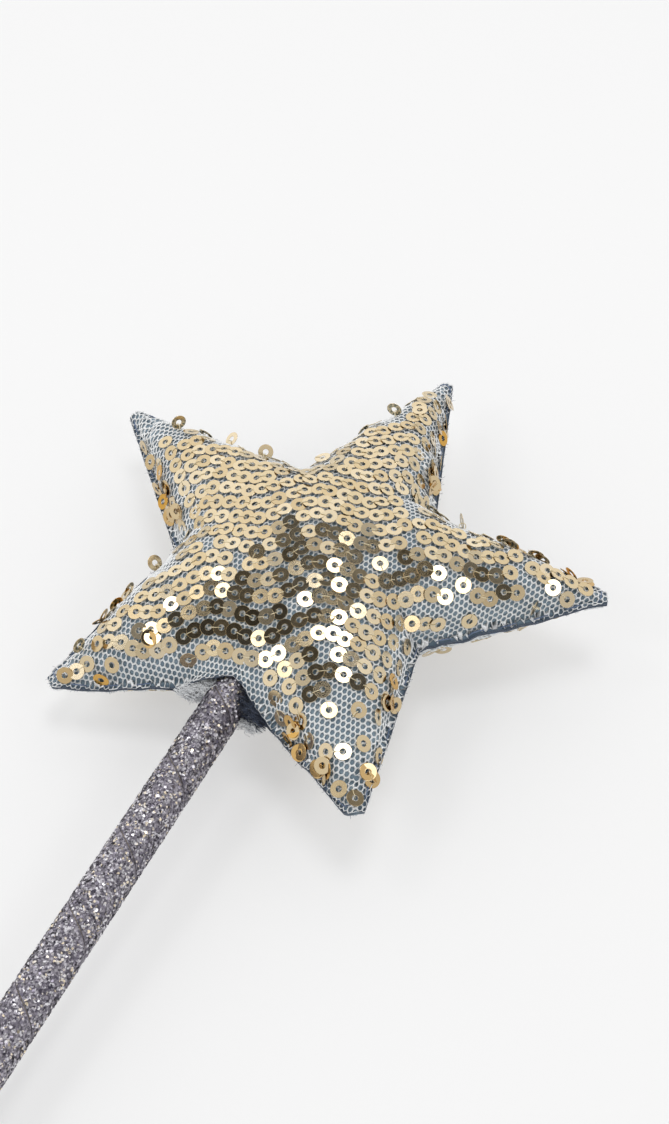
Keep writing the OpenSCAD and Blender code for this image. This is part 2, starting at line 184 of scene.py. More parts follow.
def tubes(paths, radii, sides):
    """Closed thin tubes: paths is (tubes, points, 3), radii is (tubes, points)."""
    count, steps, _ = paths.shape
    along = unit(np.gradient(paths, axis=1)).reshape(-1, 3)
    x, y = across_of(along)
    turns = np.arange(sides) * 2 * math.pi / sides
    ring = x[:, None] * np.cos(turns)[None, :, None] + y[:, None] * np.sin(turns)[None, :, None]
    points = paths.reshape(-1, 1, 3) + ring * np.reshape(radii, (-1, 1, 1))
    first = np.arange(count)[:, None, None] * steps * sides
    step = np.arange(steps - 1)[None, :, None] * sides
    i = np.arange(sides)[None, None, :]
    j = (i + 1) % sides
    here = first + step
    quads = np.stack([here + i, here + j, here + sides + j, here + sides + i], -1).reshape(-1, 4)
    starts = np.arange(count)[:, None] * steps * sides
    low = starts + np.arange(sides)[None, ::-1]
    high = starts + (steps - 1) * sides + np.arange(sides)[None, :]
    return points.reshape(-1, 3), [quads, np.concatenate([low, high])]


# Shape of the star, as in the CAD source

def edge_rate(r, notch):
    half = math.radians(HALF_TURN)
    return (r - notch * math.cos(half)) / (r * notch * math.sin(half))


def find_sharp_r():
    """Distance to the sharp tip whose cut at TIP_R is TIP_W wide."""
    low, high = TIP_R, 1.5 * TIP_R
    for _ in range(40):
        middle = (low + high) / 2
        if 2 * (1 - TIP_R / middle) / edge_rate(middle, NOTCH_R) < TIP_W:
            low = middle
        else:
            high = middle
    return (low + high) / 2


SHARP_R = find_sharp_r()
RATES = edge_rate(SHARP_R, NOTCH_R + NOTCH_REACHES)
PLAIN_DIST = 1 / math.hypot(1 / SHARP_R, edge_rate(SHARP_R, NOTCH_R))
PILLOW_SHARE = 1 - FLANGE_W / PLAIN_DIST
BLUNT_TURN = math.degrees(math.atan2(TIP_W / 2, TIP_R))


def cos_of(turn):
    return np.cos(np.radians(turn))


def sin_of(turn):
    return np.sin(np.radians(turn))


def polar(turn, r):
    return np.stack([r * sin_of(turn), r * cos_of(turn)], -1)


def turn_of(p):
    return np.degrees(np.arctan2(p[..., 0], p[..., 1]))


def arm_of(turn):
    return np.round(turn / ARM_TURN)


def rate_of(turn):
    return RATES[np.floor(turn / ARM_TURN).astype(int) % ARMS]


def outline_r(turn):
    off = turn - ARM_TURN * arm_of(turn)
    edge = 1 / (cos_of(off) / SHARP_R + rate_of(turn) * np.abs(sin_of(off)))
    return np.minimum(TIP_R / cos_of(off), edge)


def edge_room(p):
    """Distance from a point of the plan to the star's edge."""
    turn = turn_of(p)
    off = turn - ARM_TURN * arm_of(turn)
    r = np.linalg.norm(p, axis=-1)
    rate = rate_of(turn)
    share = 1 - r * cos_of(off) / SHARP_R - rate * r * np.abs(sin_of(off))
    return share / np.hypot(1 / SHARP_R, rate)


def swell(p):
    """Swell of the cushion, from 0 at the seam to 1 at the middle."""
    turn = turn_of(p)
    off = turn - ARM_TURN * arm_of(turn)
    r = np.linalg.norm(p, axis=-1)
    rate = rate_of(turn)
    inside = np.maximum(0, 1 - r / outline_r(turn) / PILLOW_SHARE)
    valley = HALF_TURN - np.hypot(HALF_TURN - np.abs(off), VALLEY_SOFT * inside ** VALLEY_FADE)
    valley = np.maximum(0, valley)
    along = np.minimum(1, r * cos_of(valley) / (SHARP_R * PILLOW_SHARE))
    across = r * sin_of(valley) * rate / PILLOW_SHARE / np.maximum(0.001, 1 - along)
    across = np.minimum(1, across)
    return (1 - along ** SWELL_ALONG) * (1 - across ** 2) ** SWELL_ACROSS


def neck(p):
    x, y = p[..., 0], p[..., 1]
    bulge = NECK_R * (1 + cos_of(180 * x / NECK_HALF)) / 2 * np.minimum(1, -y / (NOTCH_R / 2))
    return np.where((y > 0) | (np.abs(x) > NECK_HALF), 0, bulge)


def both(a, b):
    return (a ** BLEND + b ** BLEND) ** (1 / BLEND)


def seam_of(p):
    turn = turn_of(p)
    arm = arm_of(turn)
    off = turn - ARM_TURN * arm
    lift = TIP_LIFTS[arm.astype(int) % ARMS]
    r = np.linalg.norm(p, axis=-1)
    return SEAM_Z + SIDE_LEAN * p[..., 0] + lift * (r / TIP_R * cos_of(90 / HALF_TURN * off)) ** 2


def side_z(side, p, out):
    """Height of a layer that lies out from the seam on one side of the star."""
    if side == FRONT:
        return seam_of(p) + both(FRONT_RISE * swell(p), neck(p)) + LAYER_GAP / 2 + out
    free = seam_of(p) - both(BACK_RISE * swell(p), neck(p)) - LAYER_GAP / 2
    floor_z = REST_ROOM + NET_OUT - REST_ROUND
    return floor_z + ((free - floor_z) + np.hypot(free - floor_z, REST_SOFT)) / 2 - out


# The cushion's grid: directions evenly spaced along each edge, rings closer together at the rim

EDGE_STEPS = 26
INNER_RINGS = 40
RIM_RINGS = 3
FLUTTER = 0.45
FLUTTER_REACH = 4.0
# Share, waves round the star and first angle of each part of the flutter
FLUTTER_WAVES = [(1.0, 29, 20), (0.7, 47, 140), (0.5, 83, 0)]


def grid_turns():
    corner = polar(np.array([BLUNT_TURN]), TIP_R / math.cos(math.radians(BLUNT_TURN)))[0]
    notch = polar(np.array([HALF_TURN]), NOTCH_R)[0]
    shares = np.arange(EDGE_STEPS)[:, None] / EDGE_STEPS
    half = turn_of(corner + (notch - corner) * shares)
    offs = np.concatenate([[-HALF_TURN], -half[::-1], [0], half])
    return np.concatenate([arm * ARM_TURN + offs for arm in range(ARMS)])


TURNS = grid_turns()
SHARES = np.concatenate([
    np.arange(1, INNER_RINGS + 1) / INNER_RINGS * PILLOW_SHARE,
    PILLOW_SHARE + np.arange(1, RIM_RINGS + 1) / RIM_RINGS * (1 - PILLOW_SHARE),
])


def grid_plan():
    rings = [polar(TURNS, share * outline_r(TURNS)) for share in SHARES]
    return np.concatenate([np.zeros((1, 2)), *rings])


def grid_faces(first=0):
    """Fan and bands of the grid, facing up."""
    sides = len(TURNS)
    i = np.arange(sides)
    j = (i + 1) % sides
    fan = np.stack([np.full(sides, first), first + 1 + j, first + 1 + i], -1)
    bands = []
    for ring in range(len(SHARES) - 1):
        a = first + 1 + ring * sides
        bands.append(np.stack([a + i, a + j, a + sides + j, a + sides + i], -1))
    return fan, np.concatenate(bands)


def rim_wall(count):
    """Quads between the rims of two grids of count points each."""
    rim = count - len(TURNS) + np.arange(len(TURNS))
    after = np.roll(rim, -1)
    return np.stack([rim, after, after + count, rim + count], -1)


def flutter(p):
    """Small waves of the flat seam allowance, which every layer shares."""
    turn = turn_of(p)
    wave = sum(share * sin_of(count * turn + first) for share, count, first in FLUTTER_WAVES)
    return FLUTTER * wave * np.exp(-np.maximum(0, edge_room(p)) / FLUTTER_REACH)


PLAN = grid_plan()


def cloth_t(p):
    """Thickness of the cloth, pressed thin towards its raw edge."""
    return CLOTH_T * np.interp(edge_room(p), [0, RIM_REACH], [RIM_THIN, 1])


def panel_points(side, shift):
    z = side_z(side, PLAN, cloth_t(PLAN)) + flutter(PLAN)
    points = raised(PLAN, z) + shift
    points[:, 2] = np.maximum(points[:, 2], TABLE_ROOM)
    return points


# Stuffing the cover: a cloth simulation puffs and puckers it, with its rim held

SIM_SCALE = 0.1
SIM_FRAMES = 18
SIM_PRESSURE = 2.5
SIM_GROW = 0.03
MOST_SHIFT = 0.9
HELD_RINGS = RIM_RINGS + 1


def stuffed_shift():
    """How far the stuffing moves each point of the two panels."""
    count = len(PLAN)
    start = [panel_points(side, 0) for side in (FRONT, BACK)]
    fan, bands = grid_faces()
    back_fan, back_bands = grid_faces(count)
    faces = [fan, back_fan[:, ::-1], np.concatenate([bands, back_bands[:, ::-1], rim_wall(count)])]
    cover = mesh_piece("stuffing_cover", np.concatenate(start) * SIM_SCALE / MM, faces)
    held = cover.vertex_groups.new(name="held")
    first_held = count - HELD_RINGS * len(TURNS)
    held.add([k for base in (0, count) for k in range(base + first_held, base + count)], 1, "REPLACE")
    cloth = cover.modifiers.new("cloth", "CLOTH")
    settings = cloth.settings
    settings.quality = 6
    settings.mass = 0.3
    settings.tension_stiffness = 20
    settings.compression_stiffness = 20
    settings.bending_stiffness = 0.3
    settings.use_pressure = True
    settings.uniform_pressure_force = SIM_PRESSURE
    settings.shrink_min = -SIM_GROW
    settings.vertex_group_mass = "held"
    settings.effector_weights.gravity = 0
    scene = bpy.context.scene
    for number in range(1, SIM_FRAMES + 1):
        scene.frame_set(number)
    done = cover.evaluated_get(bpy.context.evaluated_depsgraph_get()).to_mesh()
    places = np.zeros(2 * count * 3)
    done.vertices.foreach_get("co", places)
    shift = places.reshape(-1, 3) / SIM_SCALE - np.concatenate(start)
    bpy.data.objects.remove(cover)
    scene.frame_set(1)
    return shift[:count], shift[count:]


def capped(shift, most):
    length = np.linalg.norm(shift, axis=1)
    return shift * (np.minimum(1, most / np.maximum(length, 1e-9)))[:, None]


def cad_islands(node):
    """(middle, direction of the thinnest extent) of each separate solid of a CAD node, in millimetres."""
    solid = bmesh.new()
    solid.from_mesh(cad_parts[node].data)
    bmesh.ops.remove_doubles(solid, verts=solid.verts, dist=1e-6)
    found, seen = [], set()
    for first in solid.verts:
        if first in seen:
            continue
        seen.add(first)
        group, at = [first], 0
        while at < len(group):
            for edge in group[at].link_edges:
                other = edge.other_vert(group[at])
                if other not in seen:
                    seen.add(other)
                    group.append(other)
            at += 1
        points = np.array([v.co for v in group]) / MM
        middle = points.mean(0)
        normal = np.linalg.svd(points - middle, full_matrices=False)[2][2]
        found.append((middle, normal))
    solid.free()
    return found


LOOSE_NODES = [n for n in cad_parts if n.startswith("loose_sequin_")]
LOOSE = {n: cad_islands(n)[0] for n in LOOSE_NODES}
LOOSE_PLAN = np.array([middle[:2] for middle, _ in LOOSE.values()]) - [0, STAR_Y]
LOOSE_REACH = 8.0
REST_GIVE = 0.2


def make_shifts():
    """The stuffing's moves, kept small near the loose sequins and off the table."""
    front, back = stuffed_shift()
    near = np.linalg.norm(PLAN[:, None] - LOOSE_PLAN[None], axis=2).min(1)
    most = MOST_SHIFT * np.minimum(1, near / LOOSE_REACH)
    back = capped(back, MOST_SHIFT)
    above_rest = panel_points(BACK, 0)[:, 2] - REST_ROOM - NET_T - LAYER_GAP
    back[:, 2] = np.maximum(back[:, 2], -REST_GIVE * np.maximum(0, above_rest))
    return {FRONT: capped(front, most), BACK: back}


SHIFTS = make_shifts()
FAN, BANDS = grid_faces()
TRIANGLES = np.concatenate([FAN, BANDS[:, [0, 1, 2]], BANDS[:, [0, 2, 3]]])
PANEL = {side: panel_points(side, SHIFTS[side]) for side in (FRONT, BACK)}


def grid_normals(points):
    """Directions out of the upper side of the grid at its points."""
    a, b, c = (points[TRIANGLES[:, k]] for k in range(3))
    face = np.cross(c - a, b - a)
    total = np.zeros_like(points)
    for k in range(3):
        for axis in range(3):
            total[:, axis] += np.bincount(TRIANGLES[:, k], face[:, axis], len(points))
    total = unit(total)
    return total * np.sign(total[:, 2:3] + 1e-12)


NORMALS = {side: side * grid_normals(PANEL[side]) for side in (FRONT, BACK)}
ON_CLOTH = 0.001


class Layer:
    """Finds points of a panel by their place in a flat drawing of the grid."""

    def __init__(self, drawing, side):
        flat = np.column_stack([drawing, np.zeros(len(drawing))])
        self.drawing = drawing
        self.side = side
        self.tree = BVHTree.FromPolygons(flat.tolist(), TRIANGLES.tolist())

    def nearest(self, places):
        """(triangle, spot in the drawing, whether on the cloth) nearest to each place."""
        found = [self.tree.find_nearest((x, y, 0)) for x, y in places.tolist()]
        spots = np.array([spot[:2] for spot, _, _, _ in found])
        gaps = np.array([gap for _, _, _, gap in found])
        return np.array([face for _, _, face, _ in found]), spots, gaps < ON_CLOTH

    def at(self, places):
        """(points of the cloth's outer face, directions out of it, whether each place is on the cloth)."""
        which, spots, on = self.nearest(places)
        corners = TRIANGLES[which]
        a, b, c = (self.drawing[corners[:, k]] for k in range(3))
        whole = cross_2d(b - a, c - a)
        v = cross_2d(spots - a, c - a) / whole
        w = cross_2d(b - a, spots - a) / whole
        shares = np.stack([1 - v - w, v, w], -1)[..., None]
        points = (PANEL[self.side][corners] * shares).sum(1)
        normals = unit((NORMALS[self.side][corners] * shares).sum(1))
        return points, normals, on


FLAT_START = 1.08
FLAT_STEPS = 500


def flat_cut(side):
    """The panel laid flat: the grid's points eased in the plane until its edges have their real lengths."""
    edges = np.concatenate([TRIANGLES[:, [0, 1]], TRIANGLES[:, [1, 2]], TRIANGLES[:, [2, 0]]])
    edges = np.unique(np.sort(edges, 1), axis=0)
    i, j = edges.T
    real = np.linalg.norm(PANEL[side][j] - PANEL[side][i], axis=1)
    flat = PLAN * FLAT_START
    shares = np.bincount(i, minlength=len(flat)) + np.bincount(j, minlength=len(flat))
    for _ in range(FLAT_STEPS):
        gap = flat[j] - flat[i]
        length = np.maximum(np.linalg.norm(gap, axis=1), 1e-9)
        pull = gap * ((length - real) / length)[:, None]
        for axis in range(2):
            move = np.bincount(i, pull[:, axis], len(flat)) - np.bincount(j, pull[:, axis], len(flat))
            flat[:, axis] += move / shares
    return flat


SEEN_FROM_ABOVE = {side: Layer(PLAN, side) for side in (FRONT, BACK)}
FLAT_CUT = {side: flat_cut(side) for side in (FRONT, BACK)}
ON_CUT = {side: Layer(FLAT_CUT[side], side) for side in (FRONT, BACK)}


# Materials

class Tree:
    """The nodes of a material or a world, with short ways to add to them."""

    def __init__(self, owner):
        owner.use_nodes = True
        self.nodes = owner.node_tree.nodes
        self.link = owner.node_tree.links.new

    def plug(self, value, socket):
        """Links an input to another node's output, or gives it a plain value."""
        if isinstance(value, bpy.types.NodeSocket):
            self.link(value, socket)
        else:
            socket.default_value = value

    def put(self, node, **inputs):
        for name, value in inputs.items():
            self.plug(value, node.inputs[name.replace("_", " ")])
        return node

    def add(self, kind, **inputs):
        return self.put(self.nodes.new("ShaderNode" + kind), **inputs)

    def math(self, operation, *values, kind="Math"):
        node = self.add(kind)
        node.operation = operation
        for value, socket in zip(values, node.inputs):
            self.plug(value, socket)
        return node.outputs["Value"]

    def ramp(self, value, stops):
        """Colours of a value, along a ramp through (place, (red, green, blue)) stops."""
        ramp = self.add("ValToRGB", Fac=value)
        elements = ramp.color_ramp.elements
        while len(elements) < len(stops):
            elements.new(1.0)
        for element, (place, colour) in zip(elements, stops):
            element.position = place
            element.color = (*colour, 1)
        return ramp.outputs["Color"]

    def own_place(self):
        """The object's own metres."""
        return self.add("TexCoord").outputs["Object"]

    def noise(self, scale):
        return self.add("TexNoise", Vector=self.own_place(), Scale=scale, Detail=3.0).outputs["Fac"]

    def value(self, name):
        """A value that add_values gave to the mesh."""
        node = self.add("Attribute")
        node.attribute_name = name
        return node.outputs["Fac"]

    def bump(self, shader, height, strength, distance):
        bump = self.add("Bump", Height=height, Strength=strength, Distance=distance)
        self.put(shader, Normal=bump.outputs["Normal"])


def new_material(name):
    material = bpy.data.materials.new(name)
    tree = Tree(material)
    return material, tree, tree.nodes["Principled BSDF"]


def mottled(name, scale, dark, light, roughness):
    """A material of two close colours, its tree and shader, and the noise that mixes the colours."""
    material, tree, shader = new_material(name)
    noise = tree.noise(scale)
    tree.put(shader, Base_Color=tree.ramp(noise, [(0.3, dark), (0.7, light)]), Roughness=roughness)
    return material, tree, shader, noise


def sequin_film():
    """Gold metal film, a little different on each sequin."""
    material, tree, shader = new_material("sequin_film")
    colour = tree.ramp(tree.value("tone"), [
        # The amber end goes mostly to the piled sequins, as painted shade of their crowding.
        (0.0, (0.62, 0.34, 0.06)),
        (0.2, (0.60, 0.47, 0.28)),
        (0.6, (0.66, 0.54, 0.35)),
        (1.0, (0.72, 0.61, 0.43)),
    ])
    noise = tree.noise(900)
    rough = tree.add("MapRange", Value=noise, To_Min=0.13, To_Max=0.18)
    tree.put(shader, Base_Color=colour, Metallic=1.0, Roughness=rough.outputs["Result"])
    tree.bump(shader, noise, 0.02, 0.0001)
    return material


def sequin_edge():
    """Amber cut edge of the film."""
    return mottled("sequin_edge", 1500, (0.20, 0.10, 0.02), (0.42, 0.24, 0.07), 0.35)[0]


WEAVE_PITCH = 0.38
# Way between the bands of Blender's wave texture at a scale of 1
WAVE_WAY = math.pi / 10


def woven(tree, pitch):
    """Height of a plain weave with that many millimetres between threads."""
    place = tree.own_place()
    waves = []
    for direction in ("X", "Y"):
        scale = WAVE_WAY / (pitch * MM)
        wave = tree.add("TexWave", Vector=place, Scale=scale, Distortion=1.5, Detail=1.0)
        wave.bands_direction = direction
        waves.append(wave.outputs["Fac"])
    return tree.math("MULTIPLY", *waves)


def blue_cloth():
    """Blue-grey backing cloth, darker towards its raw edge."""
    material, tree, shader = new_material("blue_cloth")
    colour = tree.ramp(tree.noise(260), [(0.3, (0.16, 0.225, 0.28)), (0.7, (0.22, 0.295, 0.35))])
    mix = tree.add("Mix")
    mix.data_type = "RGBA"
    tree.put(mix, Factor=tree.value("edge"), A=colour, B=(0.035, 0.06, 0.105, 1))
    tree.put(shader, Base_Color=mix.outputs["Result"], Roughness=0.85, Sheen_Weight=0.25)
    tree.bump(shader, woven(tree, WEAVE_PITCH), 0.5, 0.0001)
    return material


def plain_thread(name, dark, light, roughness):
    """Thread or fibre of two close colours."""
    material, tree, shader, noise = mottled(name, 700, dark, light, roughness)
    tree.put(shader, Sheen_Weight=0.2)
    tree.bump(shader, noise, 0.3, 0.00005)
    return material


def glitter_base():
    """Grey-lilac tape under the flakes."""
    material, tree, shader = new_material("glitter_base")
    cells = tree.add("TexVoronoi", Vector=tree.own_place(), Scale=2200)
    colour = tree.ramp(cells.outputs["Color"], [
        (0.0, (0.05, 0.045, 0.06)),
        (0.5, (0.19, 0.175, 0.21)),
        (1.0, (0.44, 0.41, 0.45)),
    ])
    tree.put(shader, Base_Color=colour, Metallic=0.6, Roughness=0.4)
    tree.bump(shader, cells.outputs["Distance"], 0.6, 0.0001)
    return material


def glitter_flake():
    """Metal flakes from dark lilac to near white; the few warm ones are painted warm highlights."""
    material, tree, shader = new_material("glitter_flake")
    colour = tree.ramp(tree.value("tone"), [
        (0.0, (0.05, 0.045, 0.065)),
        (0.35, (0.25, 0.23, 0.28)),
        (0.7, (0.54, 0.52, 0.56)),
        (0.9, (0.78, 0.77, 0.80)),
        # Warm stop: painted warm highlights on a few flakes.
        (0.97, (0.86, 0.74, 0.55)),
    ])
    tree.put(shader, Base_Color=colour, Metallic=0.85, Roughness=0.3)
    return material


def dowel_wood():
    """Pale wood with grain along the stick."""
    material, tree, shader = new_material("dowel_wood")
    stretch = tree.add("Mapping", Vector=tree.own_place(), Scale=(1200, 60, 1200))
    grain = tree.add("TexNoise", Vector=stretch.outputs["Vector"], Scale=1.0, Detail=4.0).outputs["Fac"]
    colour = tree.ramp(grain, [(0.3, (0.66, 0.52, 0.34)), (0.7, (0.84, 0.74, 0.58))])
    tree.put(shader, Base_Color=colour, Roughness=0.6)
    tree.bump(shader, grain, 0.3, 0.0001)
    return material


def clear_glue():
    """Whitish dried glue."""
    dark, light = (0.66, 0.68, 0.66), (0.82, 0.84, 0.82)
    material, tree, shader, noise = mottled("clear_glue", 400, dark, light, 0.25)
    tree.bump(shader, noise, 0.5, 0.0003)
    return material


FILM = sequin_film()
FILM_EDGE = sequin_edge()
CLOTH = blue_cloth()
NET = plain_thread("white_net", (0.90, 0.92, 0.93), (0.96, 0.97, 0.97), 0.6)
CREAM = plain_thread("cream_thread", (0.68, 0.58, 0.36), (0.86, 0.78, 0.56), 0.6)
BLUE_THREAD = plain_thread("blue_thread", (0.09, 0.13, 0.23), (0.16, 0.22, 0.34), 0.7)
FIBRE = plain_thread("stuffing_fibre", (0.74, 0.76, 0.78), (0.86, 0.87, 0.88), 0.8)
NAVY = plain_thread("edge_fray", (0.025, 0.04, 0.09), (0.13, 0.19, 0.31), 0.8)
# Near-black fibres at the neck: painted shade inside the mouth, over a real frayed navy fold.
PAINTED_SHADE_FOLD = plain_thread("painted_shade_fold", (0.012, 0.016, 0.03), (0.05, 0.07, 0.12), 0.9)
TAPE = glitter_base()
FLAKE = glitter_flake()
WOOD = dowel_wood()
GLUE = clear_glue()


# Star panels

EDGE_DARK = 1.3


def make_panel(side, name, node):
    outer = PANEL[side]
    inner = outer - np.outer(cloth_t(PLAN), [0, 0, side])
    count = len(outer)
    fan, bands = grid_faces()
    in_fan, in_bands = grid_faces(count)
    faces = [
        np.concatenate([fan, in_fan[:, ::-1]]),
        np.concatenate([bands, in_bands[:, ::-1], rim_wall(count)[:, ::-1]]),
    ]
    if side == FRONT:
        faces = [f[:, ::-1] for f in faces]
    piece = mesh_piece(name, np.concatenate([outer, inner]), faces)
    edge = np.clip(1 - edge_room(PLAN) / EDGE_DARK, 0, 1)
    add_values(piece, "edge", "POINT", np.concatenate([edge, edge]))
    finish_piece(piece, [CLOTH], "wand", [node])


# Net: hexagons of thread, drawn on the flat cut and then laid on the panel

NET_PITCH = 1.28
NET_STRETCH = 1.35
NET_THREAD = 0.42
NET_RIDGE = 0.32
NET_TURN = 4.0
NET_LIFT = 0.12
NET_PAST = 1.2
KNOT_ROOM = NET_PITCH / 20


def net_cells(layer):
    """(middles of the holes, knots, the six knots round each hole) of the net on a flat cut."""
    rows = int(SHARP_R * NET_PAST / NET_PITCH) + 1
    i, j = np.meshgrid(np.arange(-rows, rows + 1), np.arange(-rows, rows + 1))
    centres = np.column_stack([(i + 0.5 * (j % 2)).ravel(), (j * math.sqrt(3) / 2).ravel()])
    angles = math.radians(30) + np.arange(6) * math.pi / 3
    spokes = np.column_stack([np.cos(angles), np.sin(angles)]) / math.sqrt(3)
    spin = math.radians(NET_TURN)
    laid = NET_PITCH * np.array([
        [math.cos(spin), math.sin(spin)],
        [-NET_STRETCH * math.sin(spin), NET_STRETCH * math.cos(spin)],
    ])
    centres = centres @ laid
    centres = centres[layer.at(centres)[2]]
    corners = (centres[:, None] + (spokes @ laid)[None]).reshape(-1, 2)
    keys = np.round(corners / KNOT_ROOM).astype(int)
    _, first, shared = np.unique(keys, axis=0, return_index=True, return_inverse=True)
    return centres, layer.nearest(corners[first])[1], shared.reshape(-1, 6)


def make_net(side, name, node):
    layer = ON_CUT[side]
    centres, knots, shared = net_cells(layer)
    hole = knots[shared] + (centres[:, None] - knots[shared]) * NET_THREAD / NET_PITCH
    knot_points, knot_normals, _ = layer.at(knots)
    hole_points, hole_normals, _ = layer.at(hole.reshape(-1, 2))
    ridge = knot_points + knot_normals * (NET_LIFT + NET_RIDGE)
    rim = hole_points + hole_normals * NET_LIFT
    under = knot_points + knot_normals * NET_LIFT
    knot_count = len(knots)
    holes = knot_count + np.arange(len(rim)).reshape(-1, 6)
    low = knot_count + len(rim) + np.arange(knot_count)
    a, b = shared, np.roll(shared, -1, 1)
    hole_a, hole_b = holes, np.roll(holes, -1, 1)
    top = np.stack([a, b, hole_b, hole_a], -1).reshape(-1, 4)
    bottom = np.stack([low[b], low[a], hole_a, hole_b], -1).reshape(-1, 4)
    pair = np.sort(np.stack([a, b], -1).reshape(-1, 2), 1)
    _, where, uses = np.unique(pair, axis=0, return_inverse=True, return_counts=True)
    alone = uses[where.ravel()] == 1
    ends = np.stack([a, b], -1).reshape(-1, 2)[alone]
    wall = np.stack([ends[:, 1], ends[:, 0], low[ends[:, 0]], low[ends[:, 1]]], -1)
    quads = np.concatenate([top, bottom, wall])
    if side == BACK:
        quads = quads[:, ::-1]
    piece = mesh_piece(name, np.concatenate([ridge, rim, under]), [quads])
    finish_piece(piece, [NET], "wand", [node])


# Sequins

RING_SIDES = 28
FILM_ROUND = 0.06
SEWN_SPREAD = 0.06
PLAIN_TONES = (0.2, 1.0)
# The piled sequins take the darker, amber end of the tone ramp: painted shade where they crowd near the
# rim.
PILED_SHADED_TONES = (0.0, 0.35)
TIP_MOST = 6.0
ROW_STRAY = 0.35
LAP_SHARE = -0.3
THREAD_R = 0.075
THREAD_STRAY = 0.03
# Way from the hole's middle and height over the film at points of a sewing thread
THREAD_PATH = [
    (0.0, -0.35), (0.35, 0.05), (0.8, 0.17), (1.4, 0.19), (1.95, 0.17), (2.25, -0.05), (2.45, -0.4),
]


def ring_shape(outer):
    """Points (x, y, z) of one flat sequin, its faces, and which faces are film."""
    inner, half = SEQUIN_HOLE / 2, SEQUIN_T / 2
    section = [
        (inner, half - FILM_ROUND), (inner + FILM_ROUND, half),
        (outer - FILM_ROUND, half), (outer, half - FILM_ROUND),
        (outer, FILM_ROUND - half), (outer - FILM_ROUND, -half),
        (inner + FILM_ROUND, -half), (inner, FILM_ROUND - half),
    ]
    film = [False, True, False, False, False, True, False, False]
    turns = np.arange(RING_SIDES) * 2 * math.pi / RING_SIDES
    points = np.array([[r * math.cos(t), r * math.sin(t), z] for t in turns for r, z in section])
    count = len(section)
    faces, is_film = [], []
    for k in range(RING_SIDES):
        here, there = k * count, (k + 1) % RING_SIDES * count
        for m in range(count):
            n = (m + 1) % count
            faces.append((here + m, there + m, there + n, here + n))
            is_film.append(film[m])
    return points, np.array(faces)[:, ::-1], np.array(is_film)


def make_rings(
    name, middles, normals, rng, replaced=(), body="wand", outer=SEQUIN_R + SEWN_SPREAD, tones=PLAIN_TONES,
):
    """One piece with a sequin at each place."""
    ring, quads, film = ring_shape(outer)
    x, y = across_of(normals)
    spin = rng.uniform(0, 2 * math.pi, (len(middles), 1))
    side_x = x * np.cos(spin) + y * np.sin(spin)
    side_y = np.cross(normals, side_x)
    axes = np.stack([side_x, side_y, normals], 1)
    points = middles[:, None] + np.einsum("pk,skc->spc", ring, axes)
    points[..., 2] = np.maximum(points[..., 2], FILM_ROOM)
    faces = quads[None] + (np.arange(len(middles)) * len(ring))[:, None, None]
    piece = mesh_piece(name, points.reshape(-1, 3), [faces.reshape(-1, 4)])
    film = np.tile(film, len(middles))
    piece.data.polygons.foreach_set("material_index", np.where(film, 0, 1))
    piece.data.polygons.foreach_set("use_smooth", ~film)
    tone = np.repeat(rng.uniform(*tones, len(middles)), len(ring))
    add_values(piece, "tone", "POINT", tone)
    finish_piece(piece, [FILM, FILM_EDGE], body, replaced)


def tipped(normals, rng, most):
    """Directions turned by up to most degrees each way."""
    x, y = across_of(normals)
    lean = np.tan(np.radians(rng.uniform(-most, most, (len(normals), 2))))
    return unit(normals + x * lean[:, :1] + y * lean[:, 1:])


def settled(side, middles, normals, rng):
    """Sequins moved with the stuffed panel, lapped the other way and a little out of their rows."""
    middles = middles + rng.uniform(-ROW_STRAY, ROW_STRAY, middles.shape) * [1, 1, 0]
    plan = middles[:, :2] - [0, STAR_Y]
    points, out, _ = SEEN_FROM_ABOVE[side].at(plan)
    rise = points[:, 2] - side_z(side, plan, cloth_t(plan))
    flatter = unit(normals * LAP_SHARE + out * (1 - LAP_SHARE))
    return middles + np.outer(rise, [0, 0, 1]), flatter


def sequin_threads(name, middles, normals, rng):
    """Cream thread from each hole over the rim towards the nearest neighbour."""
    gaps = np.linalg.norm(middles[:, None] - middles[None], axis=2)
    np.fill_diagonal(gaps, np.inf)
    towards = middles[gaps.argmin(1)] - middles
    towards = unit(towards - (towards * normals).sum(1, keepdims=True) * normals)
    paths = np.stack([middles + towards * out + normals * up for out, up in THREAD_PATH], 1)
    paths += rng.normal(0, THREAD_STRAY, paths.shape)
    paths[..., 2] = np.maximum(paths[..., 2], THREAD_R + FILM_ROOM)
    points, faces = tubes(paths, np.full(paths.shape[:2], THREAD_R), 6)
    finish_piece(mesh_piece(name, points, faces), [CREAM], "wand")


EXTRA_TRIES = 7000
EXTRA_EDGE = 2.6
EXTRA_LOOSE_ROOM = 5.5
EXTRA_NEAR = 4.7
EXTRA_NEIGHBOURS = 4
EXTRA_HIGH = 1.3
EXTRA_TIP = 8.0
# Least room between sequins, at two places along the star
EXTRA_ROOM_AT = (-22, 2)
EXTRA_ROOM = (3.4, 2.8)


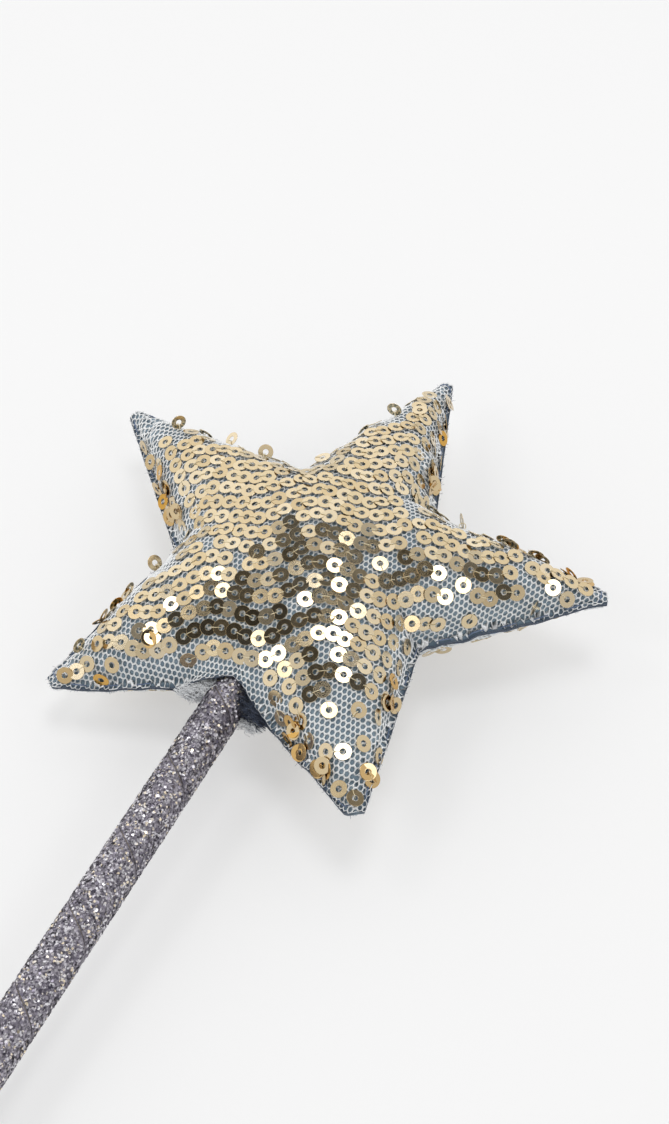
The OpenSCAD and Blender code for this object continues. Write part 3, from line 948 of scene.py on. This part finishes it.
def extra_rings(middles, normals):
    """Middles and directions of the sequins that lie over their neighbours between the rows."""
    rng = np.random.default_rng(250)
    plan = middles[:, :2] - [0, STAR_Y]
    taken = plan.copy()
    for place in rng.uniform(-TIP_R, TIP_R, (EXTRA_TRIES, 2)):
        room = np.interp(place[1], EXTRA_ROOM_AT, EXTRA_ROOM)
        crowd = (np.linalg.norm(plan - place, axis=1) < EXTRA_NEAR).sum()
        if (
            crowd >= EXTRA_NEIGHBOURS
            and edge_room(place) > EXTRA_EDGE
            and np.linalg.norm(LOOSE_PLAN - place, axis=1).min() > EXTRA_LOOSE_ROOM
            and np.linalg.norm(taken - place, axis=1).min() > room
        ):
            taken = np.concatenate([taken, place[None]])
    extra = taken[len(plan):]
    nearest = np.linalg.norm(extra[:, None] - plan[None], axis=2).argmin(1)
    points, out, _ = SEEN_FROM_ABOVE[FRONT].at(extra)
    return points + out * EXTRA_HIGH, tipped(normals[nearest], rng, EXTRA_TIP)


# Where sequins pile up: first and last turn, least and most way in from the edge, and how many
PILES = [
    (2, 9, 3.0, 6.5, 6),
    (11, 27, 3.0, 6.5, 12),
    (59, 71, 3.0, 6.5, 12),
    (127, 142, 3.0, 6.5, 12),
    (146, 158, 3.0, 6.5, 12),
    (206, 220, 4.0, 16.0, 16),
    (218, 232, 3.0, 6.5, 8),
    (261, 283, 3.0, 6.5, 15),
]
PILE_TIP = 24.0
PILE_HIGH = (1.1, 1.6)


def piled_rings():
    """Middles and directions of the sequins that pile up and stand on edge near the star's rim."""
    rng = np.random.default_rng(260)
    turn = np.concatenate([rng.uniform(first, last, count) for first, last, _, _, count in PILES])
    way_in = np.concatenate([rng.uniform(least, most, count) for _, _, least, most, count in PILES])
    plan = polar(turn, outline_r(turn) - way_in)
    far = np.linalg.norm(plan[:, None] - LOOSE_PLAN[None], axis=2).min(1) > EXTRA_LOOSE_ROOM
    points, out, _ = SEEN_FROM_ABOVE[FRONT].at(plan[far])
    high = rng.uniform(*PILE_HIGH, (len(points), 1))
    return points + out * high, tipped(out, rng, PILE_TIP)


def make_sequins():
    for side, word in ((FRONT, "front"), (BACK, "back")):
        all_middles, all_normals = [], []
        for order, group in enumerate(["middle", *ARM_NAMES]):
            node = f"{word}_sequins_{group}"
            rng = np.random.default_rng(100 + 10 * order + side)
            found = cad_islands(node)
            normals = np.array([n for _, n in found])
            normals *= np.sign(normals[:, 2:3]) * side
            middles, normals = settled(side, np.array([m for m, _ in found]), normals, rng)
            normals = tipped(normals, rng, TIP_MOST)
            make_rings(f"{word}_rings_{group}", middles, normals, rng, [node])
            all_middles.append(middles)
            all_normals.append(normals)
        rng = np.random.default_rng(300 + side)
        if side == FRONT:
            middles, normals = extra_rings(np.concatenate(all_middles), np.concatenate(all_normals))
            make_rings("front_rings_between", middles, normals, rng)
            all_middles.append(middles)
            all_normals.append(normals)
            make_rings("front_rings_piled", *piled_rings(), rng, tones=PILED_SHADED_TONES)
        middles, normals = np.concatenate(all_middles), np.concatenate(all_normals)
        sequin_threads(f"{word}_sequin_threads", middles, normals, rng)


def make_loose_sequins():
    for order, (node, (middle, normal)) in enumerate(LOOSE.items()):
        rng = np.random.default_rng(400 + order)
        name = node.replace("sequin", "ring")
        make_rings(name, middle[None], normal[None], rng, [node], body=node, outer=SEQUIN_R)


# Frayed raw edges

FRAYS = 1000
FRAY_STEPS = 5
FRAY_INSET = (0.1, 0.7)
FRAY_LENGTH = (3.0, 0.17)
FRAY_SPREAD = 40
FRAY_BEND = 45
FRAY_RISE = 0.35
FRAY_R = (0.03, 0.06)
FRAY_TAPER = 0.6
FRAY_FROM = 0.8


def make_fray(side, name):
    rng = np.random.default_rng(500 + side)
    turn = rng.uniform(0, 360, FRAYS)
    r = outline_r(turn)
    keep = rng.uniform(0, 1, FRAYS) < r / TIP_R
    turn, r = turn[keep], r[keep]
    plan = polar(turn, r - rng.uniform(*FRAY_INSET, len(r)))
    points, _, on = SEEN_FROM_ABOVE[side].at(plan)
    points, plan, turn = points[on], plan[on], turn[on]
    away = plan - polar(turn, outline_r(turn) * FRAY_FROM)
    heading = turn_of(away) + rng.normal(0, FRAY_SPREAD, len(plan))
    length = rng.gamma(*FRAY_LENGTH, len(plan))
    bend = rng.normal(0, FRAY_BEND, len(plan))
    paths = [points - [0, 0, side * CLOTH_T / 2]]
    for k in range(1, FRAY_STEPS):
        way = heading + bend * k / FRAY_STEPS
        step = np.column_stack([sin_of(way), cos_of(way), rng.normal(0, FRAY_RISE, len(plan))])
        paths.append(paths[-1] + step * (length / (FRAY_STEPS - 1))[:, None])
    paths = np.stack(paths, 1)
    radii = rng.uniform(*FRAY_R, len(plan))[:, None] * np.linspace(1, FRAY_TAPER, FRAY_STEPS)[None]
    points, faces = tubes(paths, radii, 4)
    finish_piece(mesh_piece(name, points, faces), [NAVY], "wand")


# Stick

WIND_STEP = 6.0
TAPE_ACROSS = 14
TAPE_EDGE = 0.06
TAPE_LINE = 0.2
TAPE_LOW = BARE_END + BAND_LEN + TAPE_SEAM / 2
TAPE_HIGH = DOWEL_LEN - BARE_END
TAPE_W = TAPE_PITCH - TAPE_SEAM
FLAKES = 30000
FLAKE_SIZE = (0.26, 0.44)
FLAKE_HIGH = (0.02, 0.1)
FLAKE_TIP = 28
FLAKE_PAST = 6
SEAM_ROOM = 0.35
END_ROOM = 0.4


def stick_points(s, turn, r):
    """Points at a way along the stick, a turn round it and a distance from its axis."""
    tilt = STICK_TILT
    along = np.array([0, math.cos(tilt), math.sin(tilt)])
    down = np.array([0, math.sin(tilt), -math.cos(tilt)])
    s, turn, r = (np.asarray(v, float)[..., None] for v in (s, turn, r))
    return STICK_BUTT + along * s + np.array([1.0, 0, 0]) * r * cos_of(turn) + down * r * sin_of(turn)


def tape_start(wound):
    """Way along the stick of the tape's lower edge after winding by that many degrees."""
    return TAPE_LOW - TAPE_W + TAPE_PITCH * (wound / 360 + 0.5 / CAD_SIDES)


def make_wrap():
    wound = np.arange(0, 360 * (TAPE_HIGH - TAPE_LOW + TAPE_W) / TAPE_PITCH, WIND_STEP)
    wide = TAPE_PITCH - TAPE_LINE
    across = np.concatenate([[0], np.linspace(TAPE_EDGE, wide - TAPE_EDGE, TAPE_ACROSS), [wide]])
    outer = np.full(len(across), STICK_R)
    outer[[0, -1]] -= TAPE_EDGE
    section = np.concatenate([across, across[[-1, 0]]])
    radius = np.concatenate([outer, [TAPE_IN_R, TAPE_IN_R]])
    s = np.clip(tape_start(wound)[:, None] + section[None], TAPE_LOW, TAPE_HIGH)
    points = stick_points(s, -wound[:, None] * np.ones_like(s), radius[None] * np.ones_like(s))
    count = len(section)
    k = np.arange(len(wound) - 1)[:, None] * count
    i = np.arange(count)[None]
    j = (i + 1) % count
    quads = np.stack([k + i, k + j, k + count + j, k + count + i], -1).reshape(-1, 4)
    first = np.arange(count)[None, ::-1]
    last = (len(wound) - 1) * count + np.arange(count)[None]
    piece = mesh_piece("glitter_winding", points.reshape(-1, 3), [quads, np.concatenate([first, last])])
    tidy = bmesh.new()
    tidy.from_mesh(piece.data)
    bmesh.ops.remove_doubles(tidy, verts=tidy.verts, dist=1e-7)
    bmesh.ops.dissolve_degenerate(tidy, edges=tidy.edges, dist=1e-7)
    bmesh.ops.recalc_face_normals(tidy, faces=tidy.faces)
    tidy.to_mesh(piece.data)
    tidy.free()
    finish_piece(piece, [TAPE], "wand", ["glitter_wrap"])


def make_flakes():
    rng = np.random.default_rng(700)
    s = rng.uniform(BARE_END + END_ROOM, STICK_SHOWS + FLAKE_PAST, FLAKES)
    turn = rng.uniform(0, 360, FLAKES)
    after = (s - tape_start(-turn)) % TAPE_PITCH
    on_tape = (after > SEAM_ROOM) & (after < TAPE_W - SEAM_ROOM)
    on_band = s < BARE_END + BAND_LEN - END_ROOM
    kept = np.where(s > TAPE_LOW + END_ROOM, on_tape, on_band)
    s, turn = s[kept], turn[kept]
    middles = stick_points(s, turn, np.full(len(s), STICK_R) + rng.uniform(*FLAKE_HIGH, len(s)))
    out = unit(middles - stick_points(s, turn, np.zeros(len(s))))
    normals = tipped(out, rng, FLAKE_TIP)
    x, y = across_of(normals)
    size = rng.uniform(*FLAKE_SIZE, (len(s), 1, 1))
    corner = np.arange(6) * math.pi / 3
    spin = (rng.uniform(0, 2 * math.pi, (len(s), 1)) + corner[None])[..., None]
    points = middles[:, None] + size * (x[:, None] * np.cos(spin) + y[:, None] * np.sin(spin))
    points[..., 2] = np.maximum(points[..., 2], FILM_ROOM)
    faces = np.arange(len(s) * 6).reshape(-1, 6)
    piece = mesh_piece("glitter_flakes", points.reshape(-1, 3), [faces], smooth=False)
    add_values(piece, "tone", "FACE", rng.uniform(0, 1, len(s)))
    finish_piece(piece, [FLAKE], "wand")


# Filling

FILL_GAP = 0.2
FILL_SHARE = 0.9
FILL_LEAST = 0.2
LUMP = 0.25
LUMP_ROUGH = 0.1
LUMP_WAVES = (40, 37)


def make_filling():
    rng = np.random.default_rng(800)
    rings = SHARES[SHARES <= FILL_SHARE]
    count = 1 + len(rings) * len(TURNS)
    plan = PLAN[:count]
    top = seam_of(plan) + FRONT_RISE * swell(plan) - FILL_GAP
    bottom = side_z(BACK, plan, -FILL_GAP)
    waves = sin_of(plan * LUMP_WAVES)
    lump = LUMP * (waves[:, 0] * waves[:, 1] + 1)
    lump += rng.uniform(0, LUMP_ROUGH, count)
    upper = raised(plan, np.maximum(top - lump, bottom + FILL_LEAST))
    lower = raised(plan, bottom + FILL_LEAST / 2)
    fan, bands = grid_faces()
    bands = bands[:(len(rings) - 1) * len(TURNS)]
    faces = [
        np.concatenate([fan[:, ::-1], fan + count]),
        np.concatenate([bands[:, ::-1], bands + count, rim_wall(count)]),
    ]
    piece = mesh_piece("stuffing_fill", np.concatenate([upper, lower]), faces)
    finish_piece(piece, [FIBRE], "wand", ["stuffing"])


def stick_room(points):
    """Distance of each point from the stick's axis, and the direction out of the axis."""
    along = np.array([0, math.cos(STICK_TILT), math.sin(STICK_TILT)])
    from_butt = points - STICK_BUTT
    out = from_butt - (from_butt @ along)[..., None] * along
    room = np.linalg.norm(out, axis=-1)
    return room, out / np.maximum(room, 1e-9)[..., None]


FIBRE_STEPS = 7
FIBRE_STEP = 0.7
FIBRE_ROOM = 0.2
FIBRE_TURN = 50
FIBRE_FLAT = 0.5
FIBRE_RISE = 0.3
NECK_SPAN = 25.0
NECK_FINE = 81


def make_wisps(name, material, seed, count, across, ahead, heights, radius):
    """Fibres at the neck: ranges across the stick, ahead of the panels' edges and of the mouth's height."""
    rng = np.random.default_rng(seed)
    turns = np.linspace(180 - NECK_SPAN, 180 + NECK_SPAN, NECK_FINE)
    edge = polar(turns, outline_r(turns))
    x = rng.uniform(*across, count)
    edge_y = np.interp(x, edge[::-1, 0], edge[::-1, 1])
    plan = np.column_stack([x, edge_y - rng.uniform(*ahead, count)])
    low, high = (side_z(side, plan, 0) for side in (BACK, FRONT))
    z = low + (high - low) * rng.uniform(*heights, count)
    path = [raised(plan, z)]
    heading = rng.uniform(0, 360, count)
    for _ in range(FIBRE_STEPS - 1):
        heading = heading + rng.normal(0, FIBRE_TURN, count)
        rise = rng.normal(0, FIBRE_RISE, count)
        step = np.column_stack([cos_of(heading), FIBRE_FLAT * sin_of(heading), rise])
        path.append(path[-1] + step * FIBRE_STEP)
    paths = np.stack(path, 1)
    room, out = stick_room(paths)
    paths += out * np.maximum(0, STICK_R + FIBRE_ROOM - room)[..., None]
    flat = paths.reshape(-1, 3)
    plan = flat[:, :2] - [0, STAR_Y]
    low, high = (side_z(side, plan, 0) for side in (BACK, FRONT))
    inside = edge_room(plan) > 0
    flat[:, 2] = np.where(inside, np.clip(flat[:, 2], low + FIBRE_ROOM, high - FIBRE_ROOM), flat[:, 2])
    points, faces = tubes(flat.reshape(paths.shape), np.full(paths.shape[:2], radius), 5)
    finish_piece(mesh_piece(name, points, faces), [material], "wand")


def make_neck():
    """Batting that bulges out left of the stick, a tuft on the right, and near-black fibres on the right
    that paint the shade inside the mouth over a frayed fold.
    """
    make_wisps(
        "neck_batting", FIBRE, seed=820, count=1000,
        across=(-10.5, -5.3), ahead=(-1.0, 1.5), heights=(0.2, 0.85), radius=0.09,
    )
    make_wisps(
        "neck_tuft", FIBRE, seed=821, count=200,
        across=(6.0, 8.0), ahead=(1.8, 3.4), heights=(0.0, 0.35), radius=0.08,
    )
    # Near-black fibres right of the stick: painted shade inside the mouth, over a real frayed navy fold.
    make_wisps(
        "neck_fold_shade", PAINTED_SHADE_FOLD, seed=822, count=700,
        across=(5.3, 9.5), ahead=(-1.0, 1.6), heights=(0.25, 0.9), radius=0.09,
    )


SEAM_THREAD_R = 0.15
STITCH_LEN = 4.0
STITCH_FINE = 400
STITCH_BEND = 0.3


def make_stitches():
    """The running stitch that closes the seam, over the front net and the back net by turns."""
    spread = math.degrees(math.atan2(NECK_HALF, NECK_NOTCH_R))
    turns = np.linspace(spread - 180, 180 - spread, STITCH_FINE + 1)
    line = polar(turns, (1 - FLANGE_W / 2 / PLAIN_DIST) * outline_r(turns))
    way = np.concatenate([[0], np.cumsum(np.linalg.norm(np.diff(line, axis=0), axis=1))])
    count = 2 * int(way[-1] / STITCH_LEN / 2)
    path = []
    for stitch in range(count):
        side = FRONT if stitch % 2 == 0 else BACK
        reach = way[-1] / count
        at = np.linspace(stitch * reach + STITCH_BEND, (stitch + 1) * reach - STITCH_BEND, 5)
        plan = np.column_stack([np.interp(at, way, line[:, axis]) for axis in range(2)])
        points, out, _ = SEEN_FROM_ABOVE[side].at(plan)
        rise = NET_LIFT + NET_RIDGE + SEAM_THREAD_R * np.array([0, 1, 1, 1, 0])
        path.append(points + out * rise[:, None])
    path = np.concatenate(path)[None]
    points, faces = tubes(path, np.full(path.shape[:2], SEAM_THREAD_R), 8)
    piece = mesh_piece("seam_stitches", points, faces)
    finish_piece(piece, [BLUE_THREAD], "wand", ["seam_thread"])


def dress_node(node, material):
    """A CAD node whose shape is right keeps it and gets a material."""
    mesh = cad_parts[node].data
    mesh.materials.clear()
    mesh.materials.append(material)


# Stage, light and camera

FLOOR_REACH = 3000
FLOOR_WHITE = 0.45
FLOOR_GLOW = 0.94
WINDOW_SIDE = (-0.75, 0.66, 0)
ROOM_LEVEL = 1.0
WINDOW_EXCESS = 0.3
LAMP_FAR = 1.1
# Name, direction from the star, diameter in metres and power in watts of each soft lamp
LAMPS = [
    ("overhead", (0.02, 0.19, 0.98), 0.44, 2.8),
    ("left", (-0.56, 0.0, 0.83), 0.22, 0.5),
    ("front", (-0.48, -0.52, 0.70), 0.24, 0.65),
    ("right", (0.68, -0.25, 0.68), 0.28, 0.65),
]


def make_floor():
    """A pale table that shows a share of plain white to the camera and in mirrors."""
    corners = FLOOR_REACH * np.array([[-1, -1, 0], [1, -1, 0], [1, 1, 0], [-1, 1, 0]])
    floor = mesh_piece("floor", corners, [np.array([[0, 1, 2, 3]])])
    dark, light = (0.94, 0.94, 0.94), (0.95, 0.95, 0.95)
    material, tree, shader, _ = mottled("pale_floor", 3, dark, light, 0.9)
    tree.put(shader, Specular_IOR_Level=0.1)
    path = tree.add("LightPath").outputs
    seen = tree.math("MAXIMUM", path["Is Camera Ray"], path["Is Glossy Ray"])
    seen = tree.math("MAXIMUM", seen, path["Is Transmission Ray"])
    white = tree.add("Emission", Color=(FLOOR_GLOW, FLOOR_GLOW, FLOOR_GLOW, 1))
    shade = tree.add("MixShader", Fac=tree.math("MULTIPLY", seen, FLOOR_WHITE))
    tree.link(shader.outputs["BSDF"], shade.inputs[1])
    tree.link(white.outputs["Emission"], shade.inputs[2])
    tree.put(tree.nodes["Material Output"], Surface=shade.outputs["Shader"])
    floor.data.materials.append(material)


def make_world():
    """A white room, brighter at the back left, with a dim ceiling."""
    world = bpy.data.worlds.new("studio")
    bpy.context.scene.world = world
    tree = Tree(world)
    place = tree.add("TexCoord").outputs["Generated"]
    height = tree.add("SeparateXYZ", Vector=place).outputs["Z"]
    colour = tree.ramp(height, [
        (0.0, (1.0, 1.0, 1.0)),
        (0.80, (1.0, 1.0, 1.0)),
        (0.835, (0.035, 0.035, 0.035)),
        (1.0, (0.025, 0.025, 0.025)),
    ])
    towards = tree.math("DOT_PRODUCT", place, WINDOW_SIDE, kind="VectorMath")
    least, most = ROOM_LEVEL - WINDOW_EXCESS, ROOM_LEVEL + WINDOW_EXCESS
    level = tree.add("MapRange", Value=towards, From_Min=-1, To_Min=least, To_Max=most)
    tree.put(tree.nodes["Background"], Color=colour, Strength=level.outputs["Result"])


def make_lamps():
    star = Vector((0, STAR_Y * MM, SEAM_Z * MM))
    for name, way, size, power in LAMPS:
        data = bpy.data.lights.new(name, "AREA")
        data.shape = "DISK"
        data.size = size
        data.energy = power
        lamp = bpy.data.objects.new(name, data)
        lamp.location = star + Vector(way).normalized() * LAMP_FAR
        lamp.rotation_euler = (star - lamp.location).to_track_quat("-Z", "Y").to_euler()
        bpy.context.scene.collection.objects.link(lamp)


def make_camera():
    data = bpy.data.cameras.new("photo_camera")
    data.sensor_width = SENSOR
    data.lens = FOCAL_PIXELS / PHOTO_HIGH * SENSOR
    data.clip_start = 0.01
    camera = bpy.data.objects.new("photo_camera", data)
    right = Vector(CAMERA_RIGHT).normalized()
    up = -Vector(CAMERA_DOWN).normalized()
    back = right.cross(up)
    turn = Matrix((right, up, back)).transposed().to_4x4()
    camera.matrix_world = Matrix.Translation(Vector(CAMERA_AT) * MM) @ turn
    bpy.context.scene.collection.objects.link(camera)
    bpy.context.scene.camera = camera


bpy.context.scene.view_settings.view_transform = "Standard"
make_camera()
make_world()
make_lamps()
make_floor()
make_filling()
make_neck()
make_stitches()
make_panel(FRONT, "front_panel", "front_cloth")
make_panel(BACK, "back_panel", "back_cloth")
make_net(FRONT, "front_mesh", "front_net")
make_net(BACK, "back_mesh", "back_net")
make_sequins()
make_loose_sequins()
make_fray(FRONT, "front_fray")
make_fray(BACK, "back_fray")
make_wrap()
make_flakes()
dress_node("stick_core", WOOD)
dress_node("butt_band", TAPE)
dress_node("glue_collar", GLUE)
dress_node("sequin_loops", CREAM)
